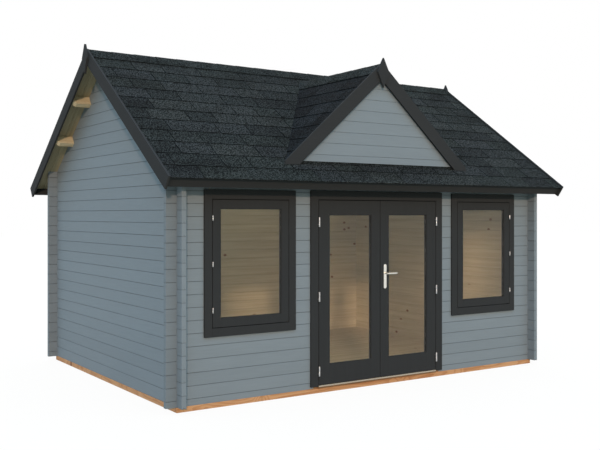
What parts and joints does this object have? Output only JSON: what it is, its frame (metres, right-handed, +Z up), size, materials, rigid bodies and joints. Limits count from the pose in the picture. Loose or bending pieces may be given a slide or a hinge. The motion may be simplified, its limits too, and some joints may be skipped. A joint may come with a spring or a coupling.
{
  "type": "garden house",
  "caption": "Log garden house with cross-jointed corners, a shingled pitched roof with a small front gable, glazed double doors and side windows.",
  "frame": {"origin": "on the ground under the middle of the house", "axes": "+X to the right along the front, +Y from the front to the back, +Z up"},
  "size_m": [4.9246, 3.8604, 3.4147],
  "materials": {
    "wall_paint": "grey-blue matt paint",
    "trim_paint": "anthracite paint",
    "bare_pine": "planed, untreated",
    "shingle": "mineral granules",
    "glass": "clear",
    "hinge_metal": "zinc plated",
    "handle_metal": "satin nickel",
    "threshold": "mill finish"
  },
  "bodies": {
    "house": {"foundation_bearers": "bare_pine", "floor_joists": "bare_pine", "floor_boards": "bare_pine", "front_wall_left": "wall_paint", "front_wall_right": "wall_paint", "front_wall_head": "wall_paint", "back_wall": "wall_paint", "left_gable_wall": "wall_paint", "right_gable_wall": "wall_paint", "ridge_beam": "bare_pine", "front_purlins": "bare_pine", "back_purlins": "bare_pine", "front_roof_boards": "bare_pine", "back_roof_boards": "bare_pine", "front_shingles": "shingle", "back_shingles": "shingle", "ridge_cap": "shingle", "front_fascia": "trim_paint", "back_fascia": "trim_paint", "left_bargeboards": "trim_paint", "right_bargeboards": "trim_paint", "gable_panel": "wall_paint", "gable_roof_boards": "bare_pine", "gable_shingles": "shingle", "gable_bargeboards": "trim_paint", "left_window_frame": "trim_paint", "left_window_casing": "trim_paint", "left_window_sash": "trim_paint", "left_window_glass": "glass", "right_window_frame": "trim_paint", "right_window_casing": "trim_paint", "right_window_sash": "trim_paint", "right_window_glass": "glass", "window_hinges": "hinge_metal", "door_frame": "trim_paint", "door_casing": "trim_paint", "door_threshold": "threshold", "door_frame_hinges": "hinge_metal"},
    "left_door": {"left_door_leaf": "trim_paint", "left_door_glass": "glass", "left_door_hinges": "hinge_metal"},
    "right_door": {"right_door_leaf": "trim_paint", "right_door_glass": "glass", "right_door_hinges": "hinge_metal", "door_handle_plates": "handle_metal"},
    "door_lever": {"door_lever": "handle_metal"}
  },
  "joints": [
    {"name": "left_door_hinge", "type": "hinge", "parent": "house", "child": "left_door", "pos_m": [-0.749, -1.659, 0.96], "axis": [0, 0, -1], "range_deg": [0, 165]},
    {"name": "right_door_hinge", "type": "hinge", "parent": "house", "child": "right_door", "pos_m": [0.749, -1.659, 0.96], "axis": [0, 0, 1], "range_deg": [0, 165]},
    {"name": "lever_turn", "type": "hinge", "parent": "right_door", "child": "door_lever", "pos_m": [0.058, -1.623, 1.116], "axis": [0, 1, 0], "range_deg": [0, 40], "stiffness_Nm_per_rad": 2, "springref_deg": -17.19}
  ]
}
